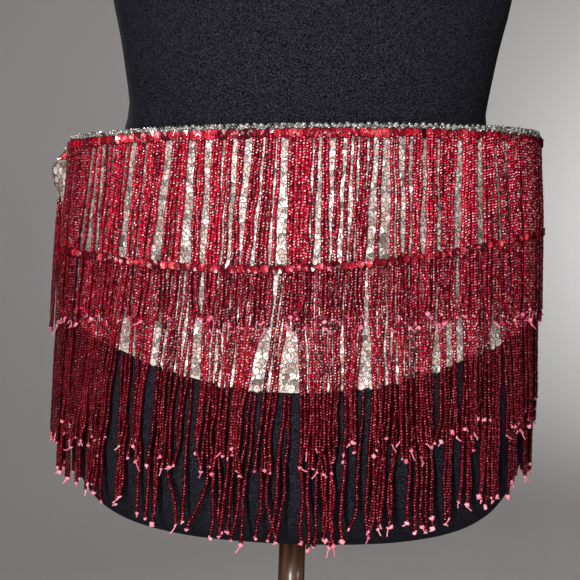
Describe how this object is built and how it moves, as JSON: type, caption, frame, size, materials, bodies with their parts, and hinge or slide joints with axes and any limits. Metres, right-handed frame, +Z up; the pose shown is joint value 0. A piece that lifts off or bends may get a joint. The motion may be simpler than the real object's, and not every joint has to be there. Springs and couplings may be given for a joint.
{
  "type": "fringe belt on a limbless dress form",
  "caption": "Hip belt: a silver sequinned crescent yoke with a beaded top edge and tiers of red glass bead fringe, worn on a black jersey dress form with a wooden pole and a round foot",
  "frame": {"origin": "on the floor, under the middle of the round foot", "axes": "+Z up; the front of the belt faces -Y; +X is the right-hand side seam as seen from the front, and the closure is at -X"},
  "size_m": [0.3808, 0.38, 1.5373],
  "materials": {
    "sequin_cloth": "cream woven cloth covered in overlapping clear and silver cup sequins with a faint iridescent sheen",
    "silver_beads": "silver-lined clear seed beads, sewn close together",
    "red_beads": "transparent deep red short-cut glass beads strung on pink thread, with red cup sequins along each root",
    "pink_thread": "candy-pink cotton thread, knotted and cut",
    "black_jersey": "fine black stretch jersey over padding, matt with a faint speckle",
    "dark_wood": "dark brown stained wood, satin varnish"
  },
  "bodies": {
    "root": {"yoke_front": "sequin_cloth", "yoke_back": "sequin_cloth", "edging_front": "silver_beads", "edging_back": "silver_beads", "fringe_top_front": "red_beads", "fringe_top_back": "red_beads", "fringe_middle_front": "red_beads", "fringe_middle_back": "red_beads", "fringe_low_front": "red_beads", "fringe_low_back": "red_beads", "form_torso": "black_jersey", "form_neck_cap": "dark_wood", "form_pole": "dark_wood", "form_base": "dark_wood"}
  },
  "joints": []
}
